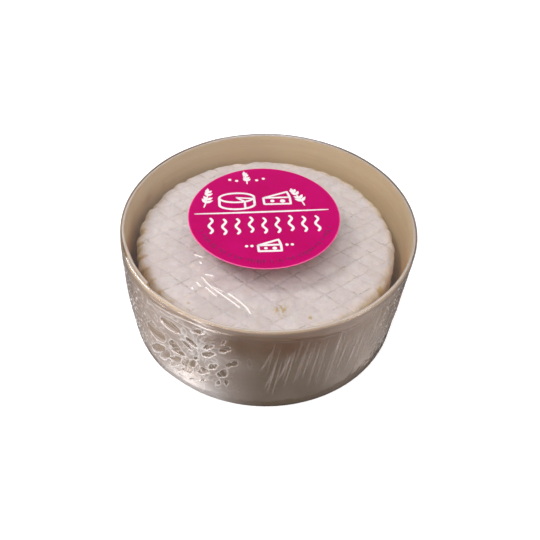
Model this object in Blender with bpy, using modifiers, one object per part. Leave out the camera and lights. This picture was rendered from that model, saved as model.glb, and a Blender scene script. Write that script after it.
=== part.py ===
"""A small camembert in its round veneer box, wrapped in clear film with a round sticker on top.

The frame has +Z up and its origin on the underside of the film, below the middle of the box.
The front of the pack faces -Y. Angles run anticlockwise seen from above, from +X.
"""

import math

import bmesh
import bpy
from mathutils import Vector, noise

MM = 0.001

# Veneer box: one strip bent round a flat disc, its ends overlapping at the left front.
# It leans a little, so that its rim stands to the right of its foot.
VENEER = 0.7 * MM
HOOP_OUTER_RADIUS = 45.5 * MM
HOOP_HEIGHT = 37.6 * MM
LAP_START = math.radians(207.6)
LAP_TURN = math.radians(15.4)
LAP_EASE = math.radians(14.0)
LAP_SLIT = 0.15 * MM
HOOP_STEP = math.radians(3.75)
LEAN = 0.76 * MM
BASE_THICKNESS = 1.2 * MM
BASE_RECESS = 0.4 * MM
OUTLINE_STEP = math.radians(5.0)

# Clear film round the whole pack, with the small vent hole where it gathers underneath
FILM = 0.25 * MM
FILM_TOP_CORNER = 0.9 * MM
FILM_FOOT_CORNER = 1.0 * MM
FILM_SAG = 0.5 * MM
FILM_SLACK = 0.5 * MM
SLACK_ANGLE = math.radians(206.0)
SLACK_SPREAD = math.radians(22.0)
VENT_RADIUS = 4.0 * MM
FILM_STEPS = 80
CORNER_STEPS = 3
SWELL_REACH = 0.97

# Cheese wheel: white rind printed with the crossed wires of the rack that it ripened on.
# Its edge is scalloped, mostly at the left, and its outline wanders outside a share of the radius.
CHEESE_RADIUS = 42.6 * MM
CHEESE_HEIGHT = 26.5 * MM
CHEESE_CENTRE = Vector((-0.5 * MM, 0.9 * MM, 0.0))
SHOULDER_RADIUS = 2.8 * MM
HEEL_RADIUS = 2.2 * MM
SIDE_BULGE = 0.3 * MM
CHEESE_STEPS = 96
ROUND_STEPS = 4
UNEVEN_RADIUS = 0.6 * MM
UNEVEN_TOP = 0.45 * MM
UNEVEN_SIZE = 13.0 * MM
UNEVEN_FROM = 0.8
UPPER_PART = 3 * SHOULDER_RADIUS
SCALLOP_DEPTH = 0.5 * MM
SCALLOPS = 38
SCALLOP_WANDER = 2.5
SCALLOP_SIDE = math.radians(180.0)
SCALLOP_SPREAD = math.radians(60.0)
SCALLOP_LEAST = 0.35
DENT_ANGLE = math.radians(104.0)
DENT_WIDTH = math.radians(3.4)
DENT_DEPTH = 1.3 * MM

# Rack print: two sets of parallel grooves, each given by the direction across it and its pitch
WIRE_ACROSS = (math.radians(127.0), math.radians(53.0))
WIRE_PITCH = (5.6 * MM, 6.0 * MM)
CROSSING = Vector((3.6 * MM, -20.8 * MM, 0.0))
GROOVE_DEPTH = 0.4 * MM
GROOVE_SHOULDER = 0.12
GROOVE_SHALLOW = 0.75
GROOVE_VARIES = 0.5
PRINT_CELLS = 24
BODY_OVER_PRINT = 0.7 * MM

# Sticker on the film
STICKER_RADIUS = 23.8 * MM
STICKER_THICKNESS = 0.2 * MM
STICKER_CENTRE = Vector((-1.3 * MM, -0.25 * MM, 0.0))
STICKER_STEPS = 48
STICKER_RINGS = 4

CLEARANCE = 0.3 * MM
MERGE = 1e-5

# Seeds of the unevenness of each feature
SIDE_SEED = 3.0
SCALLOP_SEED = 5.0
GROOVE_SEED = 7.0
TOP_SEED = 9.0

# Heights worked out from the sizes above
HOOP_FOOT = FILM + CLEARANCE
HOOP_TOP = HOOP_FOOT + HOOP_HEIGHT
BASE_FOOT = HOOP_FOOT + BASE_RECESS
CHEESE_FOOT = BASE_FOOT + BASE_THICKNESS + CLEARANCE
CHEESE_TOP = CHEESE_FOOT + CHEESE_HEIGHT
FILM_TOP = HOOP_TOP + CLEARANCE + FILM
FILM_RADIUS = HOOP_OUTER_RADIUS + CLEARANCE + FILM
LAP_SHIFT = (VENEER + LAP_SLIT) / 2


def ease(value, low, high):
    """0 below low, 1 above high, and a smooth rise between them."""
    share = min(max((value - low) / (high - low), 0.0), 1.0)
    return share * share * (3 - 2 * share)


def turned(angle, about):
    """How far angle lies from another angle, from minus half a turn to half a turn."""
    return (angle - about + math.pi) % math.tau - math.pi


def bump(distance, width):
    """A round bump of height 1 that fades out over about two widths."""
    return math.exp(-((distance / width) ** 2))


def uneven(x, y, z, seed):
    """Smooth unevenness, from about -1 to 1, that repeats in every run."""
    return noise.noise(Vector((x, y, z)) / UNEVEN_SIZE + Vector((seed, 2.0 * seed, 0.0)))


def lapped(angle):
    """1 where the strip's two ends overlap, fading to 0 on both sides."""
    middle = LAP_START + LAP_TURN / 2
    away = abs(turned(angle, middle))
    return 1.0 - ease(away, LAP_TURN / 2 + math.radians(1.5), LAP_TURN / 2 + LAP_EASE)


def strip_radius(travel):
    """Middle of the veneer, by how far round the strip has gone from its outer end."""
    middle = HOOP_OUTER_RADIUS - VENEER / 2
    outward = 1.0 - ease(travel, LAP_TURN, LAP_TURN + LAP_EASE)
    inward = ease(travel, math.tau - LAP_EASE, math.tau)
    return middle + LAP_SHIFT * (outward - inward)


def on_circle(radius, angle):
    return Vector((radius * math.cos(angle), radius * math.sin(angle), 0.0))


def lean(height):
    """How far the box stands to the right at this height, from the middle of its foot and rim."""
    return LEAN * (height / HOOP_TOP - 0.5)


def inner_room(angle):
    """Radius of the space inside the hoop, which is narrower at the overlap."""
    return HOOP_OUTER_RADIUS - VENEER - CLEARANCE - LAP_SHIFT * lapped(angle)


def new_material(name, colour, roughness, alpha=1.0):
    material = bpy.data.materials.new(name)
    material.use_nodes = True
    shader = material.node_tree.nodes["Principled BSDF"]
    shader.inputs["Base Color"].default_value = (*colour, 1.0)
    shader.inputs["Roughness"].default_value = roughness
    shader.inputs["Metallic"].default_value = 0.0
    shader.inputs["Alpha"].default_value = alpha
    return material


def new_object(name, data, collection, material=None):
    made = bpy.data.objects.new(name, data)
    collection.objects.link(made)
    if material is not None:
        data.materials.append(material)
    return made


def evaluated_mesh(piece):
    """A plain mesh of a piece as its curve or modifiers make it."""
    bpy.context.view_layer.update()
    evaluated = piece.evaluated_get(bpy.context.evaluated_depsgraph_get())
    return bpy.data.meshes.new_from_object(evaluated)


def shape_points(piece, place):
    """Moves every point of a piece to where place(point) says."""
    for vertex in piece.data.vertices:
        vertex.co = place(vertex.co.copy())
    piece.data.update()


def new_plate(name, outline, foot, height, collection, material):
    """A flat outline given a height from foot upwards, as a mesh that leans as the box does."""
    curve = bpy.data.curves.new(name, "CURVE")
    curve.dimensions = "2D"
    curve.fill_mode = "BOTH"
    curve.extrude = height / 2
    spline = curve.splines.new("POLY")
    spline.points.add(len(outline) - 1)
    for point, place in zip(spline.points, outline):
        point.co = (place.x, place.y, 0.0, 1.0)
    spline.use_cyclic_u = True
    flat = new_object(name + "_outline", curve, collection)
    plate = new_object(name, evaluated_mesh(flat), collection)
    bpy.data.objects.remove(flat)
    bm = bmesh.new()
    bm.from_mesh(plate.data)
    bmesh.ops.remove_doubles(bm, verts=bm.verts[:], dist=MERGE)
    bm.to_mesh(plate.data)
    bm.free()
    plate.data.materials.append(material)

    def place(point):
        level = point.z + foot + height / 2
        return Vector((point.x + lean(level), point.y, level))

    shape_points(plate, place)
    return plate


def new_turned(name, profile, steps, collection):
    """Turns a profile of (radius, height) points about Z and returns it as a plain mesh object."""
    mesh = bpy.data.meshes.new(name + "_profile")
    edges = [(i, i + 1) for i in range(len(profile) - 1)]
    mesh.from_pydata([(radius, 0.0, height) for radius, height in profile], edges, [])
    source = new_object(name + "_profile", mesh, collection)
    screw = source.modifiers.new("turn", "SCREW")
    screw.axis = "Z"
    screw.angle = math.tau
    screw.steps = screw.render_steps = steps
    screw.use_merge_vertices = True
    screw.merge_threshold = MERGE
    made = new_object(name, evaluated_mesh(source), collection)
    bpy.data.objects.remove(source)
    return made


def thicken(piece, thickness, offset):
    shell = piece.modifiers.new("thickness", "SOLIDIFY")
    shell.thickness = thickness
    shell.offset = offset
    shell.use_even_offset = True


def shade(piece, sharp=math.radians(30.0)):
    piece.data.shade_smooth()
    piece.data.set_sharp_from_angle(angle=sharp)


def quarter(centre_radius, centre_height, radius, start, steps):
    """Points of a quarter round that turns clockwise from the start angle, in a turned profile."""
    angles = [start - math.pi / 2 * i / steps for i in range(steps + 1)]
    return [
        (centre_radius + radius * math.cos(a), centre_height + radius * math.sin(a)) for a in angles
    ]


def build_hoop(collection, material):
    """The bent veneer strip. Its ends overlap, one outside the other, with a slit between them."""
    length = math.tau + LAP_TURN
    count = round(length / HOOP_STEP)
    travels = [length * i / count for i in range(count + 1)]
    outer = [on_circle(strip_radius(t) + VENEER / 2, LAP_START + t) for t in travels]
    inner = [on_circle(strip_radius(t) - VENEER / 2, LAP_START + t) for t in travels]
    outline = outer + inner[::-1]
    hoop = new_plate("box_hoop", outline, HOOP_FOOT, HOOP_HEIGHT, collection, material)
    shade(hoop)
    return hoop


def build_base(collection, material):
    """The veneer disc that closes the hoop below, cut to fit inside its overlap."""
    angles = [OUTLINE_STEP * i for i in range(round(math.tau / OUTLINE_STEP))]
    outline = [on_circle(inner_room(a), a) for a in angles]
    base = new_plate("box_base", outline, BASE_FOOT, BASE_THICKNESS, collection, material)
    shade(base)
    return base


def film_height(x, y):
    """Upper face of the film over the box, which hangs a little between the rims."""
    share = math.hypot(x - lean(HOOP_TOP), y) / FILM_RADIUS
    return FILM_TOP - FILM_SAG * max(0.0, 1.0 - share * share)


def film_profile():
    """The film's outer face, from the middle of its top, down the side and in to the vent hole."""
    flat = FILM_RADIUS - FILM_TOP_CORNER
    top = [(flat * i / 6, FILM_TOP) for i in range(6)]
    rim = quarter(flat, FILM_TOP - FILM_TOP_CORNER, FILM_TOP_CORNER, math.pi / 2, CORNER_STEPS)
    high, low = FILM_TOP - FILM_TOP_CORNER, FILM_FOOT_CORNER
    side = [(FILM_RADIUS, high + (low - high) * i / 4) for i in range(1, 4)]
    foot = quarter(FILM_RADIUS - FILM_FOOT_CORNER, low, FILM_FOOT_CORNER, 0.0, CORNER_STEPS)
    under = [(FILM_RADIUS * share, 0.0) for share in (0.72, 0.4)]
    return top + rim + side + foot + under + [(VENT_RADIUS, 0.0)]


def film_swell(angle, height):
    """How far the film stands off its round shape: over the overlap, and slack beside it."""
    belly = math.sin(math.pi * ease(height, 0.0, FILM_TOP))
    slack = FILM_SLACK * bump(turned(angle, SLACK_ANGLE), SLACK_SPREAD) * belly
    return LAP_SHIFT * lapped(angle) + slack


def build_film(collection, material):
    film = new_turned("film", film_profile(), FILM_STEPS, collection)

    def place(point):
        radius = math.hypot(point.x, point.y)
        angle = math.atan2(point.y, point.x)
        swell = film_swell(angle, point.z) * ease(radius, 2 * VENT_RADIUS, FILM_RADIUS * SWELL_REACH)
        moved = on_circle(radius + swell, angle) + Vector((lean(point.z), 0.0, point.z))
        if point.z > FILM_TOP - MERGE:
            moved.z = film_height(moved.x, moved.y)
        return moved

    shape_points(film, place)
    film.data.materials.append(material)
    thicken(film, FILM, -1.0)
    shade(film)
    return film


def cheese_edge(angle, height):
    """How far the wheel's side stands in or out at this angle and height."""
    place = on_circle(CHEESE_RADIUS, angle)
    waves = UNEVEN_RADIUS * (uneven(place.x, place.y, height, SIDE_SEED) - 1.0) / 2
    upper = ease(height, CHEESE_TOP - UPPER_PART, CHEESE_TOP)
    phase = SCALLOPS * angle + SCALLOP_WANDER * uneven(place.x, place.y, 0.0, SCALLOP_SEED)
    scallop = SCALLOP_DEPTH * max(0.0, math.cos(phase)) ** 4
    near = bump(turned(angle, SCALLOP_SIDE), SCALLOP_SPREAD)
    side = SCALLOP_LEAST + (1.0 - SCALLOP_LEAST) * near
    dent = DENT_DEPTH * bump(turned(angle, DENT_ANGLE), DENT_WIDTH)
    return waves - upper * (scallop * side + dent)


def cheese_lift(x, y):
    """How far the wheel's top stands above or below its mean height."""
    return UNEVEN_TOP * uneven(x, y, 0.0, TOP_SEED)


def cheese_profile():
    """The plain wheel from the middle of its top, down the side, to the middle of its base."""
    top = CHEESE_TOP + BODY_OVER_PRINT
    shoulder, heel = CHEESE_RADIUS - SHOULDER_RADIUS, CHEESE_RADIUS - HEEL_RADIUS
    high, low = top - SHOULDER_RADIUS, CHEESE_FOOT + HEEL_RADIUS
    side = [
        (CHEESE_RADIUS + SIDE_BULGE * math.sin(math.pi * i / 4), high + (low - high) * i / 4)
        for i in range(1, 4)
    ]
    return [
        (0.0, top),
        *quarter(shoulder, high, SHOULDER_RADIUS, math.pi / 2, ROUND_STEPS),
        *side,
        *quarter(heel, low, HEEL_RADIUS, 0.0, ROUND_STEPS - 1),
        (0.0, CHEESE_FOOT),
    ]


def build_print_block(collection):
    """A block whose upper face is the printed rind: one groove line in each direction for each
    cell, with a shoulder on both sides of it. It reaches past the wheel all round."""
    bm = bmesh.new()
    lines = 3 * PRINT_CELLS
    bmesh.ops.create_grid(bm, x_segments=lines, y_segments=lines, size=lines / 2)
    across = [Vector((math.cos(a), math.sin(a), 0.0)) for a in WIRE_ACROSS]
    spread = across[0].cross(across[1]).z
    # Moving by these keeps one set of grooves in place and steps the other by its pitch
    steps = (
        Vector((across[1].y, -across[1].x, 0.0)) * (WIRE_PITCH[0] / spread),
        Vector((-across[0].y, across[0].x, 0.0)) * (WIRE_PITCH[1] / spread),
    )
    offsets = (0.0, GROOVE_SHOULDER, 1.0 - GROOVE_SHOULDER)
    home = round(PRINT_CELLS / 2)
    for vertex in bm.verts:
        numbers = [round(value + lines / 2) for value in vertex.co.xy]
        cells = [n // 3 + offsets[n % 3] - home for n in numbers]
        place = CROSSING + steps[0] * cells[0] + steps[1] * cells[1]
        grooved = any(n % 3 == 0 for n in numbers)
        share = GROOVE_SHALLOW + GROOVE_VARIES * uneven(place.x, place.y, 0.0, GROOVE_SEED)
        depth = GROOVE_DEPTH * share * grooved
        vertex.co = (place.x, place.y, CHEESE_TOP + cheese_lift(place.x, place.y) - depth)
    raised = bmesh.ops.extrude_face_region(bm, geom=bm.faces[:])["geom"]
    for vertex in [item for item in raised if isinstance(item, bmesh.types.BMVert)]:
        vertex.co.z = CHEESE_FOOT - CHEESE_HEIGHT
    bmesh.ops.recalc_face_normals(bm, faces=bm.faces[:])
    mesh = bpy.data.meshes.new("print_block")
    bm.to_mesh(mesh)
    bm.free()
    block = new_object("print_block", mesh, collection)
    block.hide_render = True
    block.display_type = "WIRE"
    return block


def build_cheese(collection, cutters, material):
    """The wheel: a turned body made uneven, whose top is cut down to the printed rind."""
    cheese = new_turned("cheese", cheese_profile(), CHEESE_STEPS, collection)

    def place(point):
        radius = math.hypot(point.x, point.y)
        angle = math.atan2(point.y, point.x)
        share = ease(radius, CHEESE_RADIUS * UNEVEN_FROM, CHEESE_RADIUS)
        moved = on_circle(radius + share * cheese_edge(angle, point.z), angle) + CHEESE_CENTRE
        middle = Vector((lean(point.z), 0.0, 0.0))
        out = moved - middle
        room = inner_room(math.atan2(out.y, out.x))
        if out.length > room:
            moved = middle + out * (room / out.length)
        upper = ease(point.z, CHEESE_TOP - UPPER_PART, CHEESE_TOP)
        rise = upper * cheese_lift(moved.x, moved.y)
        return moved + Vector((0.0, 0.0, point.z + rise))

    shape_points(cheese, place)
    cheese.data.materials.append(material)
    cut = cheese.modifiers.new("printed_top", "BOOLEAN")
    cut.operation = "INTERSECT"
    cut.solver = "EXACT"
    cut.object = build_print_block(cutters)
    return cheese


def build_sticker(collection, material):
    """The round sticker, which follows the film that it is stuck to."""
    rings = [STICKER_RADIUS * i / STICKER_RINGS for i in range(STICKER_RINGS + 1)]
    sticker = new_turned("sticker", [(r, 0.0) for r in rings], STICKER_STEPS, collection)

    def place(point):
        x, y = point.x + STICKER_CENTRE.x, point.y + STICKER_CENTRE.y
        return Vector((x, y, film_height(x, y) + CLEARANCE))

    shape_points(sticker, place)
    sticker.data.materials.append(material)
    thicken(sticker, STICKER_THICKNESS, 1.0)
    shade(sticker)
    return sticker


def main():
    for old in list(bpy.data.objects):
        bpy.data.objects.remove(old)
    pack = bpy.data.collections.new("camembert")
    cutters = bpy.data.collections.new("cutters")
    for collection in (pack, cutters):
        bpy.context.scene.collection.children.link(collection)
    build_hoop(pack, new_material("veneer_side", (0.56, 0.42, 0.28), 0.6))
    build_base(pack, new_material("veneer_disc", (0.58, 0.45, 0.31), 0.6))
    build_cheese(pack, cutters, new_material("white_rind", (0.80, 0.74, 0.68), 0.75))
    build_film(pack, new_material("clear_film", (0.92, 0.92, 0.92), 0.08, alpha=0.15))
    build_sticker(pack, new_material("magenta_paper", (0.60, 0.01, 0.16), 0.35))


main()
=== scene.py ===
"""The looks of a small camembert in its round veneer box, wrapped in clear film with a round sticker.

Everything is in metres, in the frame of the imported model: +Z up, the front of the pack facing -Y,
the origin on the underside of the film. Angles run anticlockwise seen from above, from +X.
"""
import math
import random

import bpy
import numpy as np
from mathutils import Matrix, Vector, noise


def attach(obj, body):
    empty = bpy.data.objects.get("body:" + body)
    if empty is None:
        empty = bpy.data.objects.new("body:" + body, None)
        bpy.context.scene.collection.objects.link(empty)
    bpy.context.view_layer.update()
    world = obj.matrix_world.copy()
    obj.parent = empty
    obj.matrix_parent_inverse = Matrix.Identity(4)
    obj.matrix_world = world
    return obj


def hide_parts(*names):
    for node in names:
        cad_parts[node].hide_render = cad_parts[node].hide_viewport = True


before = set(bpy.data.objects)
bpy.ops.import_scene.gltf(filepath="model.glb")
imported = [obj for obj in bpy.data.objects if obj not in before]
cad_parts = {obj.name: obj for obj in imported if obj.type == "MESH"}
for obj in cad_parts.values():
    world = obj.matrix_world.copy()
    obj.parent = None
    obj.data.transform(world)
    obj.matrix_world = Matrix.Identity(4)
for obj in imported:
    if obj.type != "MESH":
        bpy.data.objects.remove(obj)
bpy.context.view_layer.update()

MM = 0.001
TURN = math.tau

# Camera, as the photograph was taken
VIEW_DOWN = math.radians(46.8)
VIEW_ROLL = math.radians(2.4)
VIEW_TARGET = Vector((1.21 * MM, 0.0, 12.9 * MM))
VIEW_DISTANCE = 184.0 * MM
SENSOR_WIDTH = 36.0
FOCAL_LENGTH = SENSOR_WIDTH * 526.0 / 540.0
NEAREST_SEEN = 0.005
FURTHEST_SEEN = 20.0

# Veneer box, with the sizes of the CAD model
VENEER = 0.7 * MM
HOOP_OUTER_RADIUS = 45.5 * MM
LAP_START = math.radians(207.6)
LAP_TURN = math.radians(15.4)
LAP_EASE = math.radians(14.0)
LAP_SHIFT = 0.425 * MM
LEAN = 0.76 * MM
CLEARANCE = 0.3 * MM
HOOP_FOOT = 0.55 * MM
HOOP_TOP = 38.15 * MM
BASE_FOOT = 0.95 * MM
BASE_TOP = 2.15 * MM
BASE_BEVEL = 0.2 * MM
BASE_STEPS = 240
# Moves the disc's grain away from the hoop's
BASE_GRAIN = np.array((0.0, 0.1, 0.0))
HOOP_STEPS = 620
EDGE_ROUND = 0.14 * MM
RIM_UNEVEN = 0.10 * MM
WALL_UNEVEN = 0.07 * MM

# Film
FILM_RADIUS = 46.05 * MM
FILM_TOP = 38.70 * MM
FILM_SAG = 0.5 * MM
FILM_SLACK = 0.5 * MM
SLACK_ANGLE = math.radians(206.0)
SLACK_SPREAD = math.radians(22.0)
FILM_TOP_CORNER = 0.9 * MM
FILM_FOOT_CORNER = 1.0 * MM
VENT_RADIUS = 4.0 * MM
FILM_STEPS = 840
# The film round the side, in three pieces: where each starts and ends in degrees, its steps and rows
SIDE_SPANS = (
    ("film_left", 192.0, 268.0, 440, 200),
    ("film_front", 268.0, 335.0, 480, 140),
    ("film_back", 335.0, 552.0, 480, 140),
)

# Cheese wheel
CHEESE_RADIUS = 42.6 * MM
CHEESE_FOOT = 2.45 * MM
CHEESE_TOP = 28.95 * MM
CHEESE_CENTRE = np.array((-0.5 * MM, 0.9 * MM))
SHOULDER_RADIUS = 2.8 * MM
HEEL_RADIUS = 2.2 * MM
SIDE_BULGE = 0.3 * MM
UNEVEN_RADIUS = 0.6 * MM
UNEVEN_TOP = 0.45 * MM
UNEVEN_SIZE = 13.0 * MM
TUFTS = 0.28 * MM
FINE_TUFTS = 0.10 * MM
SCALLOP_DEPTH = 1.3 * MM
DENT_ANGLE = math.radians(104.0)
DENT_WIDTH = math.radians(3.4)
DENT_DEPTH = 1.3 * MM
CHEESE_STEPS = 640

# Print of the ripening rack on the rind
WIRE_ACROSS = (math.radians(127.0), math.radians(53.0))
WIRE_PITCH = (5.6 * MM, 6.0 * MM)
CROSSING = np.array((3.6 * MM, -20.8 * MM))
GROOVE_DEPTH = 0.34 * MM
GROOVE_WIDTH = 0.42 * MM
LINE_WIDTH = 0.30 * MM
# How far the lines wander, against the pitch
LINE_WANDER = 0.26
PILLOW = 0.30 * MM
NOTCH_WIDTH = 0.8 * MM

# Sticker
STICKER_RADIUS = 23.8 * MM
STICKER_THICKNESS = 0.2 * MM
STICKER_CENTRE = np.array((-1.3 * MM, -0.25 * MM))
STICKER_TURN = math.radians(6.8)
STICKER_STEPS = 240
INK_GAP = 0.02 * MM


def ease(value, low, high):
    """0 below low, 1 above high, and a smooth rise between them."""
    share = np.clip((value - low) / (high - low), 0.0, 1.0)
    return share * share * (3 - 2 * share)


def turned(angle, about):
    """How far angle lies from another angle, from minus half a turn to half a turn."""
    return (angle - about + math.pi) % TURN - math.pi


def bump(distance, width):
    """A round bump of height 1 that fades out over about two widths."""
    return np.exp(-((distance / width) ** 2))


def about(angle, at, width):
    """A round bump about a direction, which is given in degrees as its width is."""
    return bump(turned(angle, math.radians(at)), math.radians(width))


def polar(radius, angle, east=0.0, north=0.0):
    """Places at a radius and angle about a middle."""
    return radius * np.cos(angle) + east, radius * np.sin(angle) + north


def rounded(radius, level, size, steps, first_turn=0.0):
    """A quarter of a circle as (radius, height, out, up), which faces up at its start, or out after a
    first turn of a quarter."""
    for i in range(steps + 1):
        turn = first_turn + math.pi / 2 * i / steps
        out, up = math.sin(turn), math.cos(turn)
        yield radius + size * out, level + size * up, out, up


def places(x, y, z, size, seed):
    """Rows of (x, y, z) in units of size, moved away from the origin by the seed."""
    stacked = np.stack(np.broadcast_arrays(x, y, z), axis=-1)
    moved = stacked / size + np.array((seed, 2.0 * seed, 0.0))
    return moved.reshape(-1, 3).tolist(), stacked.shape[:-1]


def uneven(x, y, z, seed, size=UNEVEN_SIZE):
    """Smooth unevenness, from about -1 to 1, that repeats in every run."""
    rows, shape = places(x, y, z, size, seed)
    return np.array([noise.noise(row) for row in rows]).reshape(shape)


def nearest_point(x, y, z, seed, size):
    """Distance to the nearest of scattered points, in units of size."""
    rows, shape = places(x, y, z, size, seed)
    return np.array([noise.voronoi(row)[0][0] for row in rows]).reshape(shape)


def lapped(angle):
    """1 where the strip's two ends overlap, fading to 0 on both sides."""
    away = np.abs(turned(angle, LAP_START + LAP_TURN / 2))
    return 1.0 - ease(away, LAP_TURN / 2 + math.radians(1.5), LAP_TURN / 2 + LAP_EASE)


def lean(height):
    """How far the box stands to the right at this height, from the middle of its foot and rim."""
    return LEAN * (height / HOOP_TOP - 0.5)


def inner_room(angle):
    """Radius of the space inside the hoop, which is narrower at the overlap."""
    return HOOP_OUTER_RADIUS - VENEER - CLEARANCE - LAP_SHIFT * lapped(angle)


def film_height(x, y):
    """Upper face of the film over the box, which hangs a little between the rims."""
    share = np.hypot(x - lean(HOOP_TOP), y) / FILM_RADIUS
    return FILM_TOP - FILM_SAG * np.maximum(0.0, 1.0 - share * share)


def new_object(name, points, faces, material):
    mesh = bpy.data.meshes.new(name)
    mesh.from_pydata(points, [], faces)
    mesh.materials.append(material)
    made = bpy.data.objects.new(name, mesh)
    bpy.context.scene.collection.objects.link(made)
    return made


def new_piece(name, points, faces, material):
    """A smooth mesh piece that rides on the pack."""
    piece = new_object(name, points, faces, material)
    piece.data.validate()
    piece.data.shade_smooth()
    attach(piece, "root")
    return piece


def give_values(piece, name, values, kind="FLOAT", key="value"):
    """Stores a number, or else a place, for each point of a piece, for its material to read."""
    attribute = piece.data.attributes.new(name, kind, "POINT")
    attribute.data.foreach_set(key, np.asarray(values, dtype=np.float32).ravel())


def give_places(piece, name, rows):
    give_values(piece, name, rows, "FLOAT_VECTOR", "vector")


def ring_faces(rows, steps, closed=True):
    """Quads between rows of points, each of which goes once round where it is closed."""
    row, step = np.meshgrid(np.arange(rows - 1), np.arange(steps if closed else steps - 1), indexing="ij")
    after = (step + 1) % steps
    corners = (row * steps + step, row * steps + after, (row + 1) * steps + after, (row + 1) * steps + step)
    return np.stack(corners, axis=-1).reshape(-1, 4).tolist()


def fan_faces(steps, ring, centre, outward):
    """Triangles from one ring of points to a centre point."""
    turns = [(ring * steps + i, ring * steps + (i + 1) % steps, centre) for i in range(steps)]
    return turns if outward else [(b, a, c) for a, b, c in turns]


def closed_rings(rings, first, last):
    """Points and faces of a closed form: its rings in order, and a middle point at each end."""
    rings = np.array(rings)
    count, steps = rings.shape[:2]
    points = rings.reshape(-1, 3).tolist() + [first, last]
    faces = [face[::-1] for face in ring_faces(count, steps)] + fan_faces(steps, 0, count * steps, True)
    return points, faces + fan_faces(steps, count - 1, count * steps + 1, False)


# Materials

class Nodes:
    """The nodes of one material or of the world, with short ways to add and join them."""

    def __init__(self, owner):
        owner.use_nodes = True
        self.owner, self.tree = owner, owner.node_tree
        self.shader = self.tree.nodes.get("Principled BSDF")

    def feed(self, socket, source):
        """Gives a socket an output, a number, a direction or a colour."""
        if isinstance(source, bpy.types.NodeSocket):
            self.tree.links.new(source, socket)
        elif isinstance(source, tuple) and len(socket.default_value) == 4:
            socket.default_value = (*source, 1.0)
        else:
            socket.default_value = source

    def add(self, kind, *sources, named=None, **settings):
        """A new node with its settings, what feeds its first inputs, and what feeds inputs by name."""
        node = self.tree.nodes.new("ShaderNode" + kind)
        for name, value in settings.items():
            setattr(node, name, value)
        for socket, source in zip(node.inputs, sources):
            self.feed(socket, source)
        for name, source in (named or {}).items():
            self.feed(node.inputs[name], source)
        return node

    def calculate(self, operation, *values):
        return self.add("Math", *values, operation=operation).outputs[0]

    def times(self, first, second):
        return self.calculate("MULTIPLY", first, second)

    def read(self, name, output="Fac"):
        """What a mesh stores for each of its points under a name."""
        return self.add("Attribute", attribute_name=name).outputs[output]

    def place(self):
        return self.add("TexCoord").outputs["Object"]

    def spread(self, value, low, high, to_low=0.0, to_high=1.0):
        """Maps a value's range from low..high to another, without going past its ends."""
        settings = {"interpolation_type": "SMOOTHSTEP"}
        return self.add("MapRange", value, low, high, to_low, to_high, **settings).outputs[0]

    def blend(self, share, first, second):
        """Mixes two colours, each given as a colour or as an output, by a share from 0 to 1."""
        mix = self.add("Mix", share, data_type="RGBA")
        self.feed(mix.inputs[6], first)
        self.feed(mix.inputs[7], second)
        return mix.outputs[2]

    def stretch(self, place, *scales):
        return self.add("VectorMath", place, scales, operation="MULTIPLY").outputs[0]

    def texture(self, place, scale, detail=4.0, roughness=0.55):
        """Smooth noise over a place."""
        named = {"Vector": place, "Scale": scale, "Detail": detail, "Roughness": roughness}
        return self.add("TexNoise", named=named).outputs["Fac"]

    def mix_shaders(self, share, first, second):
        return self.add("MixShader", share, first, second).outputs[0]

    def look(self, colour, roughness, specular=0.5, soft=0.0, passes=(1.0, 0.2, 0.1), depth=0.05):
        """The shader's colour and gloss, and how much light of each colour passes how deep below it."""
        for name, value in (
            ("Base Color", colour), ("Roughness", roughness), ("Specular IOR Level", specular),
            ("Subsurface Weight", soft), ("Subsurface Radius", passes), ("Subsurface Scale", depth),
        ):
            self.feed(self.shader.inputs[name], value)

    def relief(self, height, distance, strength):
        """Roughens the shading by a height, where the roughness is too fine for the mesh."""
        named = {"Height": height, "Distance": distance, "Strength": strength}
        self.feed(self.shader.inputs["Normal"], self.add("Bump", named=named).outputs["Normal"])


def new_nodes(name):
    return Nodes(bpy.data.materials.new(name))


PALE_POPLAR = (0.85, 0.70, 0.455)
TAN_POPLAR = (0.81, 0.645, 0.405)
FIBRE = (0.68, 0.49, 0.30)
PORE = (0.44, 0.28, 0.15)
# Painted orange glow and shade: light coming through the thin veneer, and dim light in the gaps beside the
# cheese
PAINTED_GLOW_POPLAR = (0.80, 0.34, 0.09)
# Brown of the real stains on the inner wall, also used as painted shade on the outer face
STAIN_AND_SHADE_POPLAR = (0.30, 0.13, 0.05)
CUT_POPLAR = (0.59, 0.515, 0.465)


def veneer_material():
    """Pale peeled poplar: long fine fibres along the strip, soft bands and a few brown stains, with painted
    orange glow and shade low on the inner wall and at the front, and an outer face darkened partly by
    painted shade.
    """
    wood = new_nodes("poplar_veneer")
    place = wood.read("strip", "Vector")
    fibres = wood.texture(wood.stretch(place, 90.0, 2600.0, 2600.0), 1.0, 5.0, 0.65)
    bands = wood.texture(wood.stretch(place, 22.0, 330.0, 330.0), 1.0, 3.0)
    pores = wood.texture(wood.stretch(place, 260.0, 5200.0, 5200.0), 1.0, 2.0)
    colour = wood.blend(wood.spread(bands, 0.3, 0.72), PALE_POPLAR, TAN_POPLAR)
    colour = wood.blend(wood.spread(fibres, 0.42, 0.72, 0.0, 0.30), colour, FIBRE)
    colour = wood.blend(wood.spread(pores, 0.62, 0.74, 0.0, 0.35), colour, PORE)
    for name, shade in (("deep", PAINTED_GLOW_POPLAR), ("stain", STAIN_AND_SHADE_POPLAR), ("cut", CUT_POPLAR)):
        colour = wood.blend(wood.read(name), colour, shade)
    wood.look(colour, 0.62, 0.35, 0.3, (1.0, 0.6, 0.35), 1.1 * MM)
    wood.relief(fibres, 0.05 * MM, 0.5)
    return wood.owner


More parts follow.
